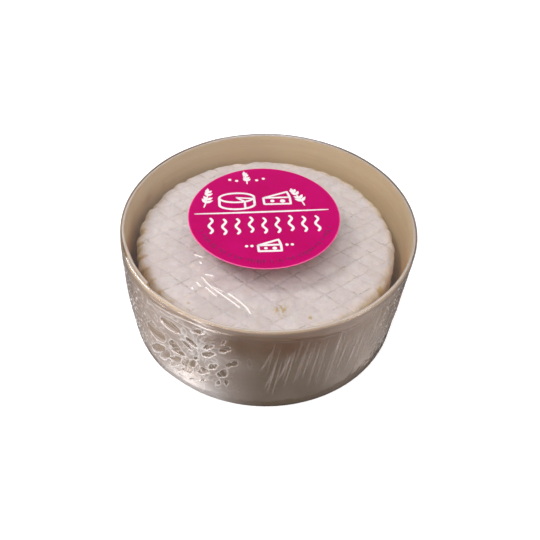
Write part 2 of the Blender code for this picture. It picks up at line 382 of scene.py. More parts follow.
BLOOM = (0.85, 0.79, 0.80)
DULL_BLOOM = (0.755, 0.68, 0.685)
MOTTLE = (0.72, 0.645, 0.655)
GROOVED = (0.66, 0.58, 0.56)
PRINTED = (0.40, 0.31, 0.26)
TUFT = (0.93, 0.885, 0.87)
# Straw yellow of rubbed rind, also used as painted light bounced off the wood
STRAW_AND_BOUNCE = (0.64, 0.49, 0.26)
# Ochre of the rind's edge, also used as painted orange glow on the side
OCHRE = (0.50, 0.34, 0.13)


def rind_material():
    """White mould rind: chalky and fuzzy, greyer in the grooves, straw and ochre at the edge, where some of
    the yellow at the back right is painted light bounced off the wood and some of the ochre down the side
    is painted orange glow from the gap.
    """
    rind = new_nodes("bloomy_rind")
    place = rind.place()
    tufts, mottle = rind.texture(place, 1400.0, 5.0, 0.7), rind.texture(place, 520.0, 3.0)
    colour = rind.blend(rind.spread(rind.texture(place, 150.0), 0.3, 0.7), BLOOM, DULL_BLOOM)
    colour = rind.blend(rind.spread(mottle, 0.42, 0.68, 0.0, 0.55), colour, MOTTLE)
    colour = rind.blend(rind.times(rind.read("groove"), 0.30), colour, GROOVED)
    line = rind.times(wire_lines(rind, place), rind.read("printed"))
    colour = rind.blend(rind.times(line, 0.9), colour, PRINTED)
    colour = rind.blend(rind.spread(tufts, 0.35, 0.8, 0.0, 0.35), colour, TUFT)
    colour = rind.blend(rind.read("straw"), colour, STRAW_AND_BOUNCE)
    colour = rind.blend(rind.read("ochre"), colour, OCHRE)
    rind.look(colour, 0.85, 0.2, 0.25, (1.0, 0.6, 0.4), 1.2 * MM)
    rind.feed(rind.shader.inputs["Sheen Weight"], 0.15)
    rind.relief(rind.calculate("ADD", tufts, rind.times(mottle, 1.6)), 0.25 * MM, 0.8)
    return rind.owner


def wire_lines(rind, place):
    """Fine broken lines where the rack's wires pressed, 1 on a line and 0 away from it."""
    wander = rind.texture(place, 420.0, 5.0, 0.7)
    gaps = rind.spread(rind.texture(place, 330.0), 0.46, 0.60, 0.06, 1.0)
    worn = rind.spread(rind.texture(place, 70.0, 2.0), 0.36, 0.62, 0.30, 1.0)
    split = rind.add("SeparateXYZ", place).outputs
    lines = []
    for across, pitch in zip(WIRE_ACROSS, WIRE_PITCH):
        shift = CROSSING[0] * math.cos(across) + CROSSING[1] * math.sin(across)
        along = rind.calculate("ADD", rind.times(split["X"], math.cos(across) / pitch),
                               rind.times(split["Y"], math.sin(across) / pitch))
        along = rind.calculate("ADD", along, 0.5 - shift / pitch)
        wavy = rind.calculate("ADD", along, rind.times(wander, LINE_WANDER))
        wavy = rind.calculate("FRACT", rind.calculate("SUBTRACT", wavy, LINE_WANDER / 2))
        distance = rind.calculate("ABSOLUTE", rind.calculate("SUBTRACT", wavy, 0.5))
        lines.append(rind.spread(distance, 0.0, LINE_WIDTH / pitch, 1.0, 0.0))
    return rind.times(rind.calculate("MAXIMUM", *lines), rind.times(gaps, worn))


THIN_HAZE = (0.85, 0.735, 0.70)
# Whiter cloudiness, reached mostly where glints and highlights are painted
THICK_HAZE_AND_GLINT = (0.96, 0.90, 0.88)


def film_material():
    """Clear shrink film: mostly seen through, with sharp reflections and a little cloudiness on the folds,
    and painted glints, highlights and sheen mixed in as extra pale cloudiness.
    """
    film = new_nodes("clear_film")
    clear = film.add("BsdfTransparent", (0.985, 0.985, 0.98)).outputs[0]
    shine = film.add("BsdfGlossy", named={"Roughness": 0.055}).outputs[0]
    haze_and_glints = film.read("haze_and_glints")
    film.look(film.blend(film.spread(haze_and_glints, 0.38, 0.62), THIN_HAZE, THICK_HAZE_AND_GLINT), 0.28)
    both_faces = film.times(film.add("Fresnel", 1.5).outputs[0], 1.7)
    reflecting = film.mix_shaders(both_faces, clear, shine)
    hazy = film.mix_shaders(haze_and_glints, reflecting, film.shader.outputs[0])
    film.feed(film.tree.nodes["Material Output"].inputs["Surface"], hazy)
    return film.owner


MAGENTA = (0.43, 0.003, 0.118)
DEEP_MAGENTA = (0.39, 0.0025, 0.10)
PAPER_EDGE = (0.82, 0.15, 0.36)
WHITE_INK = (0.76, 0.73, 0.74)
DARK_INK = (0.10, 0.004, 0.05)


def paper_material():
    """Glossy sticker paper printed magenta, with its bare edge showing as a thin pale rim."""
    paper = new_nodes("magenta_paper")
    place = paper.place()
    colour = paper.blend(paper.spread(paper.texture(place, 90.0, 3.0), 0.3, 0.7), MAGENTA, DEEP_MAGENTA)
    colour = paper.blend(paper.read("bare"), colour, PAPER_EDGE)
    paper.look(colour, 0.26, 0.03, 0.6, (1.0, 0.15, 0.4), 0.5 * MM)
    paper.relief(paper.texture(place, 2600.0, 2.0), 0.02 * MM, 0.5)
    return paper.owner


def ink_material(name, colour):
    """Printed ink, a little worn."""
    ink = new_nodes(name)
    wear = ink.spread(ink.texture(ink.place(), 1800.0, 3.0), 0.35, 0.7)
    ink.look(ink.blend(wear, colour, tuple(0.94 * part for part in colour)), 0.45)
    return ink.owner


# Veneer box

def strip_radius(travel):
    """Middle of the veneer, by how far round the strip has gone from its outer end."""
    outward = 1.0 - ease(travel, LAP_TURN, LAP_TURN + LAP_EASE)
    inward = ease(travel, TURN - LAP_EASE, TURN)
    return HOOP_OUTER_RADIUS - VENEER / 2 + LAP_SHIFT * (outward - inward)


def hoop_section():
    """The strip's cut end as (out, up, cut edge), outer face first; up runs 0 at the foot to 1."""
    half, rows = VENEER / 2, 14
    outer = [(half, i / rows, 0.0) for i in range(rows + 1)]
    rim = [(half * share, 1.0, 1.0) for share in (0.96, 0.8, 0.4, 0.0, -0.4, -0.8, -0.96)]
    inner = [(-half, 1.0 - i / rows, 0.0) for i in range(rows + 1)]
    foot = [(-half * 0.9, 0.0, 1.0), (half * 0.9, 0.0, 1.0)]
    return outer + rim + inner + foot


def build_hoop(material):
    out, up, cut = np.array(hoop_section()).T
    travel = np.linspace(0.0, TURN + LAP_TURN, HOOP_STEPS + 1)[:, None]
    angle, run = LAP_START + travel + 0.0 * out, travel * HOOP_OUTER_RADIUS + 0.0 * out
    rim = HOOP_TOP + RIM_UNEVEN * uneven(run, 0.0, 0.0, 21.0, 9.0 * MM)
    rounding = EDGE_ROUND * (np.abs(out) / (VENEER / 2)) ** 6 * (up > 0.999)
    height = HOOP_FOOT + (rim - HOOP_FOOT) * up - rounding
    radius = strip_radius(travel) + out + WALL_UNEVEN * uneven(run, height, 0.0, 22.0, 17.0 * MM)
    x, y = polar(radius, angle, lean(height))
    points = np.stack((x, y, height), axis=-1).reshape(-1, 3).tolist()
    count, steps = len(out), HOOP_STEPS + 1
    faces = [(a, d, c, b) for a, b, c, d in ring_faces(steps, count)]
    first, last = list(range(count)), list(range((steps - 1) * count, steps * count))
    hoop = new_piece("hoop", points, faces + [first, last[::-1]], material)
    give_places(hoop, "strip", np.stack((run, height, radius), axis=-1))
    stain, deep = hoop_tints(angle, HOOP_TOP - height, (out < 0.0) * (up > 0.0), out > 0.0)
    # On the outer face the 'stain' values also carry painted shade
    give_values(hoop, "stain", stain + OUTSIDE_WET_LOOK_AND_SHADE * (out > 0.0) * (up < 1.0))
    # The 'deep' values are painted orange glow and shade, not the wood's own colour
    give_values(hoop, "deep", deep)
    give_values(hoop, "cut", cut * (up > 0.5) + 0.0 * run)
    hoop.data.set_sharp_from_angle(angle=math.radians(50.0))
    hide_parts("box_hoop")
    return hoop


def hoop_tints(angle, below, inside, outside):
    """How stained the wood is, and how much painted orange glow it gets: low on the inner wall, painted
    glow and shade beside the cheese, and high at the front, painted glow of light through the veneer.
    """
    stain = sum(
        strength * bump(turned(angle, math.radians(at)) * HOOP_OUTER_RADIUS, width * MM)
        * bump(below - depth * MM, high * MM)
        for at, depth, width, high, strength in HOOP_STAINS
    )
    # Painted orange glow and shade in the gaps beside the cheese, at the left and at the right
    glow_share = 0.05 + 0.7 * about(angle, 211.0, 24.0) + 0.50 * about(angle, 338.0, 17.0)
    start = 4.5 * MM - 3.0 * MM * about(angle, 220.0, 18.0)
    # Painted glow of light through the veneer, high on the outer face at the front, with a faint share all
    # round the outside
    front = 0.06 + 0.55 * about(angle, 278.0, 22.0) * bump(below - 7.0 * MM, 5.0 * MM)
    deep = glow_share * ease(below, start, start + 5.0 * MM) * inside + front * outside
    return np.clip(stain * inside, 0.0, 1.0), deep


# How much darker the outer face is: partly the wet look where the film lies pressed smooth on it, partly
# painted shade that keeps the outer walls dark
OUTSIDE_WET_LOOK_AND_SHADE = 0.15
# Stains on the inner wall: angle in degrees, then depth below the rim, half width, half height in mm
# and how dark
HOOP_STAINS = (
    (148.5, 9.0, 0.9, 0.7, 0.75),
    (160.0, 8.5, 2.2, 1.2, 0.30),
    (176.0, 7.0, 3.0, 1.5, 0.25),
)


def build_base(material):
    """The veneer disc under the cheese, cut to fit inside the hoop."""
    angle = np.linspace(0.0, TURN, BASE_STEPS, endpoint=False)
    profile = (
        (0.5, BASE_TOP, 0.0),
        (1.0, BASE_TOP, BASE_BEVEL),
        (1.0, BASE_TOP - BASE_BEVEL, 0.0),
        (1.0, BASE_FOOT + BASE_BEVEL, 0.0),
        (1.0, BASE_FOOT, BASE_BEVEL),
        (0.5, BASE_FOOT, 0.0),
    )
    rings = []
    for share, height, inset in profile:
        x, y = polar(inner_room(angle) * share - inset, angle, lean(height))
        rings.append(np.stack((x, y, height + 0.0 * angle), axis=-1))
    points, faces = closed_rings(rings, (lean(BASE_TOP), 0.0, BASE_TOP), (lean(BASE_FOOT), 0.0, BASE_FOOT))
    base = new_piece("base", points, faces, material)
    base.data.set_sharp_from_angle(angle=math.radians(40.0))
    give_places(base, "strip", np.array(points) + BASE_GRAIN)
    # The base takes a fixed share of the painted orange glow colour
    for name, value in (("stain", 0.10), ("deep", 0.3), ("cut", 0.0)):
        give_values(base, name, np.full(len(points), value))
    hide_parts("box_base")
    return base


# Cheese

def cheese_edge(angle, height):
    """How far the wheel's side stands in or out at this angle and height, and how much is notched."""
    x, y = polar(CHEESE_RADIUS, angle)
    waves = UNEVEN_RADIUS * (0.5 * uneven(x, y, height, 3.0) - 0.5)
    upper = ease(height, CHEESE_TOP - 3 * SHOULDER_RADIUS, CHEESE_TOP)
    away = wire_distance(x + CHEESE_CENTRE[0], y + CHEESE_CENTRE[1])
    notch = np.minimum(1.0, sum(bump(distance, NOTCH_WIDTH) for distance in away))
    notch = notch * np.clip(0.7 + 0.6 * uneven(x, y, 0.0, 5.0, 5.0 * MM), 0.1, 1.0)
    notch = notch * (0.30 + 0.70 * about(angle, 195.0, 50.0))
    dent = DENT_DEPTH * bump(turned(angle, DENT_ANGLE), DENT_WIDTH)
    return waves - upper * (SCALLOP_DEPTH * notch + dent), notch


def wire_distance(x, y):
    """Distance from each place on the rind to the nearest line of each set of wires."""
    found = []
    for across, pitch in zip(WIRE_ACROSS, WIRE_PITCH):
        along = (x - CROSSING[0]) * math.cos(across) + (y - CROSSING[1]) * math.sin(across)
        found.append(np.abs((along / pitch + 0.5) % 1.0 - 0.5) * pitch)
    return found


def cheese_profile():
    """Rows of (radius, height) from the middle of the top, down the side, to the underside."""
    shoulder, heel = CHEESE_RADIUS - SHOULDER_RADIUS, CHEESE_RADIUS - HEEL_RADIUS
    radii = [r * MM for r in range(1, 12)] + list(np.arange(12.0 * MM, shoulder, 0.33 * MM))
    high, low = CHEESE_TOP - SHOULDER_RADIUS, CHEESE_FOOT + HEEL_RADIUS
    side = [
        (CHEESE_RADIUS + SIDE_BULGE * math.sin(math.pi * i / 26), high + (low - high) * i / 26)
        for i in range(1, 26)
    ]
    top_round = [row[:2] for row in rounded(shoulder, high, SHOULDER_RADIUS, 13)]
    foot_round = [row[:2] for row in rounded(heel, low, HEEL_RADIUS, 6, math.pi / 2)]
    under = [(heel * share, CHEESE_FOOT) for share in (0.8, 0.5, 0.25)]
    return [(r, CHEESE_TOP) for r in radii] + top_round + side + foot_round + under


def build_cheese(material):
    profile = np.array(cheese_profile())
    angle = np.linspace(0.0, TURN, CHEESE_STEPS, endpoint=False) + 0.0 * profile[:, :1]
    plain, level = profile[:, :1] + 0.0 * angle, profile[:, 1:] + 0.0 * angle
    edge, notch = cheese_edge(angle, level)
    radius = plain + ease(plain, CHEESE_RADIUS * 0.8, CHEESE_RADIUS) * edge
    x, y = polar(radius, angle, *CHEESE_CENTRE)
    out_x = x - lean(level)
    room = inner_room(np.arctan2(y, out_x)) / np.maximum(np.hypot(out_x, y), 1.0 * MM)
    x, y = np.where(room < 1.0, lean(level) + out_x * room, x), np.where(room < 1.0, y * room, y)
    upper = ease(level, CHEESE_TOP - 3 * SHOULDER_RADIUS, CHEESE_TOP)
    flat = ease(level, CHEESE_TOP - 0.8 * SHOULDER_RADIUS, CHEESE_TOP - 0.1 * SHOULDER_RADIUS)
    first, second = wire_distance(x, y)
    depth = GROOVE_DEPTH * (0.75 + 0.5 * uneven(x, y, 0.0, 7.0))
    broken = np.clip(0.75 + 0.6 * uneven(x, y, 0.0, 11.0, 7.0 * MM), 0.15, 1.0)
    groove = np.maximum(bump(first, GROOVE_WIDTH), 0.9 * bump(second, GROOVE_WIDTH)) * broken
    pillow = PILLOW * np.minimum(first, second) / (2.5 * MM)
    tufts = FINE_TUFTS * uneven(x, y, level, 13.0, 1.1 * MM) + TUFTS * uneven(x, y, level, 14.0, 2.6 * MM)
    flake, straw, ochre = rind_marks(x, y, angle, level, plain, notch)
    rise = upper * UNEVEN_TOP * uneven(x, y, 0.0, 9.0) + flat * (pillow - depth * groove + tufts + flake)
    grown = (1.0 - flat) * tufts
    rings = np.stack((x + grown * np.cos(angle), y + grown * np.sin(angle), level + rise), axis=-1)
    middle = CHEESE_TOP + UNEVEN_TOP * float(uneven(*CHEESE_CENTRE, 0.0, 9.0))
    points, faces = closed_rings(rings, (*CHEESE_CENTRE, middle), (*CHEESE_CENTRE, CHEESE_FOOT))
    cheese = new_piece("rind", points, faces, material)
    printed = flat * (1.0 - 0.8 * notch)
    marks = {"groove": flat * groove, "printed": printed, "straw": straw, "ochre": ochre}
    for name, values in marks.items():
        give_values(cheese, name, np.append(values.ravel(), (0.0, 0.0)))
    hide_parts("cheese")
    return cheese


# Rubbed places on the rind: x and y in mm, half width in mm, and how yellow
RUBBED_SPOTS = (
    (35.3, -21.3, 1.5, 1.0),
    (13.3, -33.0, 0.6, 0.8),
    (22.0, -32.0, 1.2, 0.12),
    (-22.0, -29.5, 0.5, 0.4),
)
# The patch where the rind has broken into flakes: x, y and half width in mm
BROKEN_PATCH = (4.9, -31.0, 1.8)


def rind_marks(x, y, angle, level, radius, notch):
    """The broken flakes' height, and how straw-coloured and how ochre each place on the rind is, partly as
    painted light: bounce off the wood at the back right edge, and orange glow down the side.
    """
    fine = uneven(x, y, level, 31.0, 1.1 * MM)
    coarse = uneven(x, y, level, 32.0, 6.0 * MM)
    spots = 0.0
    for at_x, at_y, width, strength in RUBBED_SPOTS:
        away = np.hypot(x - at_x * MM, y - at_y * MM) * (1.0 + 0.4 * fine)
        spots = spots + strength * ease(bump(away, width * MM), 0.3, 0.6)
    inward = CHEESE_RADIUS - radius
    edge = 1.0 - ease(inward + 0.9 * MM * fine + 0.8 * MM * coarse, 0.6 * MM, 3.4 * MM)
    left = about(angle, 196.0, 38.0)
    front_right, back_right_bounce = about(angle, 310.0, 24.0), about(angle, 50.0, 40.0)
    # The back right share paints light bounced off the wood wall as straw yellow
    straw = 1.6 * spots + edge * (0.25 + 0.35 * left + 0.45 * front_right + 0.75 * back_right_bounce)
    fringe = 1.0 - ease(inward + 1.2 * MM * fine, 1.4 * MM, 4.2 * MM)
    # Ochre down the side, more at the left: partly the rind's own colour, partly painted orange glow of the
    # shaded gap beside the wall
    down = ease(CHEESE_TOP - level, 1.5 * MM - 1.2 * MM * left, 7.0 * MM - 3.5 * MM * left)
    ochre = left * (0.9 * fringe * notch + 0.5 * edge * (0.8 + fine))
    ochre = ochre + (0.2 + 0.6 * left) * down * (0.8 + 0.5 * coarse)
    away = np.hypot(x - BROKEN_PATCH[0] * MM, y - BROKEN_PATCH[1] * MM)
    patch = bump(away, BROKEN_PATCH[2] * MM)
    chips = uneven(x, y, level, 33.0, 0.65 * MM)
    flake = 0.8 * MM * patch * chips
    straw = straw + 1.5 * patch * ease(chips, -0.10, 0.15)
    return flake, np.clip(straw, 0.0, 1.0), np.clip(ochre, 0.0, 1.0)


# Film

# Folds down the film's front, as (angle, depth) at both ends in degrees and mm, and half width in mm
FRONT_FOLDS = (
    ((273.0, 9.0), (269.8, 18.0), 0.252),
    ((280.3, 9.5), (275.6, 24.0), 0.27),
    ((273.8, 19.0), (271.6, 27.0), 0.24),
    ((284.2, 9.5), (281.8, 25.0), 0.24),
    ((286.5, 9.0), (284.8, 23.5), 0.216),
    ((289.3, 7.5), (287.8, 28.0), 0.27),
    ((292.0, 7.0), (290.4, 27.5), 0.252),
    ((297.0, 5.5), (294.6, 31.0), 0.48),
    ((300.8, 9.0), (298.4, 26.0), 0.24),
    ((305.2, 12.0), (302.7, 26.0), 0.27),
    ((308.6, 7.0), (306.0, 22.0), 0.228),
    ((311.7, 3.0), (309.8, 15.0), 0.3),
    ((311.2, 19.5), (306.5, 31.5), 0.3),
    ((315.5, 5.0), (313.0, 18.0), 0.24),
    ((319.5, 6.5), (316.9, 16.0), 0.3),
)
# The loose film at the left front, in degrees from its middle: where it begins, where its fine lines
# end, and where its dullness ends under the rim, which is twice as far lower down
LOOSE_MIDDLE = 228.0
LOOSE_BEGINS = (-42.0, -24.0)
LINES_END = (20.0, 44.0)
DULL_END = 12.0
DULL_FADE = 21.0
# Taut lines that follow the rim at the left front
RIM_FOLDS = (
    ((236.5, 0.4), (243.5, 1.5), 0.30),
    ((243.0, 0.8), (250.5, 1.6), 0.30),
    ((226.0, 1.8), (236.0, 2.6), 0.35),
    ((246.0, 3.2), (262.0, 3.0), 0.40),
    ((264.0, 3.6), (284.0, 4.2), 0.45),
    ((286.0, 4.6), (306.0, 5.2), 0.45),
)
# Streaks where the film over the cheese is creased, with a painted highlight along each: places along each
# in mm, and half width in mm
TOP_STREAKS = (
    (((-17.4, -28.0), (-16.1, -29.8), (-14.2, -31.8)), 0.20),
    (((-13.7, -32.1), (-11.0, -34.3), (-7.6, -37.1), (-6.5, -38.1)), 0.25),
    (((-14.1, -31.2), (-11.5, -32.8)), 0.16),
    (((-9.7, -33.6), (-8.8, -34.2), (-6.4, -36.3), (-4.6, -38.1), (-3.5, -40.0)), 0.27),
    (((-16.1, -31.6), (-15.1, -32.5), (-13.0, -34.5)), 0.22),
    (((-20.6, -19.3), (-18.6, -20.1)), 0.27),
    (((-18.8, -22.2), (-18.5, -22.6)), 0.28),
    (((-19.8, -32.0), (-19.5, -32.4)), 0.22),
    (((-18.8, -29.9), (-17.7, -31.1)), 0.22),
    (((-16.6, -26.8), (-14.7, -27.2)), 0.20),
)
# Contact patches where the film lies against the wood, at the left front: they fan out from a hub
HUB = (math.radians(247.6), 12.0 * MM)
RAYS = 5.5
# The larger ones, as (angle, depth) at both ends in degrees and mm, and half width in mm
PATCHES = (
    ((225.3, 15.9), (229.7, 19.3), 3.9),
    ((232.5, 9.2), (239.5, 9.3), 2.2),
    ((245.9, 6.6), (249.9, 4.3), 0.9),
    ((234.8, 17.6), (238.4, 19.2), 2.2),
    ((242.7, 10.7), (246.4, 12.9), 1.2),
    ((241.1, 13.0), (244.1, 15.6), 1.0),
    ((223.3, 29.9), (230.7, 22.7), 1.7),
    ((228.4, 30.5), (233.1, 23.9), 1.4),
    ((235.1, 21.4), (240.6, 19.8), 1.2),
    ((233.5, 27.4), (239.2, 23.3), 1.2),
    ((240.2, 25.8), (245.2, 21.1), 1.7),
    ((232.8, 31.3), (238.9, 25.1), 0.8),
    ((239.7, 29.4), (243.8, 25.6), 1.2),
    ((235.0, 31.3), (237.6, 30.4), 0.8),
    ((237.2, 33.6), (240.3, 32.5), 0.6),
    ((249.6, 12.3), (252.8, 9.5), 0.9),
    ((249.3, 15.9), (252.9, 13.3), 1.1),
    ((246.8, 26.1), (250.3, 22.6), 0.9),
    ((248.3, 22.5), (250.6, 24.0), 0.9),
    ((251.2, 21.6), (253.7, 18.4), 1.1),
    ((255.9, 11.6), (258.8, 8.8), 0.9),
    ((254.9, 24.3), (257.3, 20.2), 1.2),
    ((258.1, 18.4), (261.1, 14.5), 1.0),
    ((247.2, 30.3), (249.0, 28.7), 0.5),
    ((253.8, 29.2), (254.8, 26.5), 0.5),
    ((242.1, 32.9), (244.1, 31.0), 0.6),
    ((257.0, 27.9), (258.2, 25.8), 0.5),
    ((245.3, 20.0), (246.7, 18.2), 0.6),
    ((256.1, 7.8), (257.6, 6.0), 0.4),
    ((265.6, 13.0), (265.9, 16.5), 0.4),
)


def crease(u, v, start, end, width, thinning=1.0):
    """A rounded ridge along the line between two places, which may thin out towards its ends."""
    run, rise = end[0] - start[0], end[1] - start[1]
    length = math.hypot(run, rise)
    along = ((u - start[0]) * run + (v - start[1]) * rise) / length
    beyond = np.maximum(0.0, np.maximum(-along, along - length))
    beside = np.abs((u - start[0]) * rise - (v - start[1]) * run) / length
    taper = np.clip(np.minimum(along + length * 0.15, length * 1.15 - along) / (length * 0.4), 0.3, 1.0)
    return (1.0 - thinning + thinning * taper) * bump(np.hypot(beyond * 0.7, beside), width)


def side_crease(angle, depth, start, end, width):
    """A ridge on the side, between places given by angle in degrees and depth in mm."""
    middle = math.radians((start[0] + end[0]) / 2)
    u = turned(angle, middle) * FILM_RADIUS
    ends = [((math.radians(at) - middle) * FILM_RADIUS, down * MM) for at, down in (start, end)]
    return crease(u, depth, ends[0], ends[1], width * MM)


def ridges(x, y, z, seed, size, sharp=7.0):
    """Thin winding lines, 1 on a line and falling off quickly beside it."""
    return np.maximum(0.0, 1.0 - sharp * np.abs(uneven(x, y, z, seed, size)))


def oval(u, v, start, end, width):
    """How far inside a long oval a place lies, in metres, and below 0 outside it."""
    run, rise = end[0] - start[0], end[1] - start[1]
    length = math.hypot(run, rise)
    u, v = u - (start[0] + end[0]) / 2, v - (start[1] + end[1]) / 2
    along, beside = (u * run + v * rise) / length, (u * rise - v * run) / length
    half = length / 2 + width * 0.4
    return (1.0 - np.hypot(along / half, beside / width)) * min(width, half)


def contact_patches(angle, depth):
    """Where the film lies flat on the wood, from 0 to 1, the rims round those patches, and the fine
    folds that run through them towards the hub."""
    u, v = turned(angle, HUB[0]) * FILM_RADIUS, depth - HUB[1]
    wander = 0.5 * MM * uneven(u, v, 0.0, 47.0, 2.5 * MM)
    wander = wander + 0.24 * MM * uneven(u, v, 0.0, 46.0, 1.0 * MM)
    reach, way = np.hypot(u, v), np.arctan2(v, u)
    margin = np.full_like(u, -9.0 * MM)
    for *ends, width in PATCHES:
        ends = [((math.radians(at) - HUB[0]) * FILM_RADIUS, down * MM - HUB[1]) for at, down in ends]
        margin = np.maximum(margin, oval(u + wander, v + wander, *ends, width * MM))
    hub = bump(reach, 1.5 * MM)
    patch, rim = ease(margin, 0.0, 0.16 * MM), bump(margin + 0.06 * MM, 0.14 * MM)
    rim = rim * np.clip(0.85 + 1.2 * uneven(u, v, 0.0, 45.0, 2.2 * MM), 0.3, 1.2)
    outward = np.log(reach / MM + 1.3)
    rays = ridges(RAYS * np.cos(way), RAYS * np.sin(way), 1.2 * outward, 48.0, 1.0, 5.0)
    rays = rays * np.maximum(1.5 * patch, 1.1 * bump(reach - 2.0 * MM, 5.0 * MM))
    return patch, rim, rays, hub


def loose_parts(angle, depth):
    """Where the film shows its fine lines at the left front, and where it stands off and looks dull."""
    away = turned(angle, math.radians(LOOSE_MIDDLE))
    begun = ease(away, *np.radians(LOOSE_BEGINS)) * ease(depth, 1.0 * MM, 5.0 * MM)
    lined = begun * (1.0 - ease(away, *np.radians(LINES_END)))
    end = math.radians(DULL_END) * (1.0 + ease(depth, 4.0 * MM, 18.0 * MM))
    return lined, begun * (1.0 - ease(away, end, end + math.radians(DULL_FADE)))


def sparkles(x, y, angle, depth):
    """Small round dents at the left end of the lap and at the front right, whose glitter is partly painted
    as pale cloudiness, and how thickly they lie."""
    strewn = about(angle, 210.0, 15.0) * ease(depth, 1.5 * MM, 6.0 * MM)
    strewn = strewn + 0.9 * about(angle, 325.0, 7.0) * ease(depth, 1.0 * MM, 4.0 * MM)
    dents = bump(nearest_point(x, y, depth, 41.0, 1.5 * MM), 0.23) * strewn
    return dents * np.clip(0.9 + 1.4 * uneven(x, y, depth, 42.0, 4.0 * MM), 0.0, 1.0), strewn


def side_relief(angle, depth):
    """How far the film stands off its round shape on the side, by angle and depth below the top,
    and how cloudy it is there, with painted glints, highlights and sheen added as extra cloudiness."""
    x, y = polar(FILM_RADIUS, angle)
    patch, rim, rays, hub = contact_patches(angle, depth)
    lined, loose = loose_parts(angle, depth)
    dots, strewn = sparkles(x, y, angle, depth)
    threads = ridges(x, y, depth, 49.0, 2.6 * MM) * lined * (1.0 - patch)
    taut = ridges(x * 0.10, y * 0.10, depth, 50.0, 1.5 * MM, 4.0) * bump(depth - 3.0 * MM, 2.6 * MM)
    taut = taut * about(angle, 241.0, 15.0)
    folds, rim_folds = (
        sum(side_crease(angle, depth, start, end, width) for start, end, width in creases)
        for creases in (FRONT_FOLDS, RIM_FOLDS)
    )
    fine_folds, behind = front_threads(angle, depth), back_folds(angle, depth)
    raised = lined * (0.16 - 0.24 * patch + 0.11 * rim + 0.07 * rays + 0.05 * threads)
    raised = raised + 0.28 * dots + 0.20 * folds + 0.10 * fine_folds + 0.16 * rim_folds
    raised = raised + 0.12 * taut + 0.26 * behind
    drift = 1.0 + 0.6 * uneven(x, y, depth, 53.0, 9.0 * MM)
    # Pale cloudiness of the loose film at the left front: partly real, partly painted sheen
    haze_and_glints = 0.41 * loose * (1.0 - 0.55 * np.minimum(strewn, 1.0)) * (1.0 - 0.95 * patch)
    haze_and_glints = haze_and_glints * (0.5 + 0.5 * drift)
    # Painted reflection: a pale patch low on the left front
    haze_and_glints = haze_and_glints + 0.30 * loose * ease(depth, 28.0 * MM, 35.0 * MM) * about(angle, 242.0, 12.6)
    # Painted glints: bright outlines round the contact patches, bright rays, hub and threads, and bright
    # dots
    haze_and_glints = haze_and_glints + lined * (0.52 * rim + 0.30 * rays + 0.2 * hub + 0.20 * threads + 1.5 * dots)
    # Painted glints on the scattered dots and on the taut lines under the rim
    haze_and_glints = haze_and_glints + 1.4 * (1.0 - loose) * dots + 0.48 * taut
    haze_and_glints = haze_and_glints + 0.19 * np.clip(folds + behind, 0.0, 1.0) + 0.30 * fine_folds
    haze_and_glints = haze_and_glints + smooth_haze_and_sheen(angle, depth, loose, drift)
    return MM * raised + small_crinkles(angle, depth, x, y), np.clip(haze_and_glints, 0.0, 0.85)


def smooth_haze_and_sheen(angle, depth, loose, drift):
    """The even cloudiness of the film away from its folds, with painted sheen at the right, a painted
    reflection in a band under the rim, and a painted highlight under the rim at the left front.
    """
    past_front = turned(angle, math.radians(262.0))
    right = about(angle, 314.0, 20.0) * ease(depth, 1.0 * MM, 3.0 * MM)
    behind = ease(np.abs(past_front), math.radians(80.0), math.radians(100.0))
    growing = 1.4 * MM + 3.0 * MM * ease(past_front, 0.0, math.radians(50.0))
    band = (1.0 - ease(depth, growing, growing + 1.2 * MM)) * (1.0 - loose)
    low = ease(depth, 9.0 * MM, 15.0 * MM) * (1.0 - loose)
    pale = np.hypot(turned(angle, math.radians(249.5)) * FILM_RADIUS / 1.7, depth - 2.4 * MM)
    return (0.03 + (0.13 * right + 0.16 * behind) * drift + 0.13 * band + 0.04 * low
            + 0.35 * bump(pale, 2.0 * MM))


def front_threads(angle, depth):
    """Thin long folds between the larger ones at the front, leaning to the right."""
    dice = random.Random(15)
    total, place = 0.0, 272.0
    while place < 322.0:
        place += dice.uniform(0.7, 2.0)
        top, length = dice.uniform(4.0, 15.0), dice.uniform(9.0, 19.0)
        start, end = (place, top), (place - 0.13 * length, top + length)
        height, width = dice.uniform(0.3, 1.0), dice.uniform(0.15, 0.24)
        total = total + height * side_crease(angle, depth, start, end, width)
    return total


def back_folds(angle, depth):
    """Upright folds round the back and right, like those at the front."""
    dice = random.Random(12)
    total, place = 0.0, 324.0
    while place < 555.0:
        place += dice.uniform(1.2, 6.0)
        top, foot = dice.uniform(1.5, 15.0), dice.uniform(17.0, 35.0)
        start, end = (place, top), (place + dice.uniform(-3.5, 2.0), foot)
        width, height = dice.uniform(0.18, 0.5), dice.uniform(0.25, 1.1)
        total = total + height * side_crease(angle, depth, start, end, width)
    return total


def small_crinkles(angle, depth, x, y):
    """Fine crinkles all round, strongest at the left end of the lap and at the front right."""
    rough = 0.30 + 0.5 * about(angle, 208.0, 14.0) + 1.2 * about(angle, 321.0, 9.0)
    rough = rough * ease(depth, 0.5 * MM, 4.0 * MM)
    fine = uneven(x, y, depth, 51.0, 1.7 * MM)
    coarse = uneven(x, y, depth, 52.0, 6.0 * MM)
    return rough * (0.09 * MM * fine + 0.14 * MM * coarse)


def top_relief(x, y):
    """How far the film stands up over the cheese, and the painted highlights along its creases, given as
    cloudiness.
    """
    streaks = 0.0
    for route, width in TOP_STREAKS:
        steps = [(at[0] * MM, at[1] * MM) for at in route]
        for start, end in zip(steps, steps[1:]):
            streaks = np.maximum(streaks, crease(x, y, start, end, width * MM, 0.0))
    # The creases' cloudiness paints their highlights
    return 0.10 * MM * uneven(x, y, 0.0, 61.0, 14.0 * MM) + 0.24 * MM * streaks, 0.8 * streaks


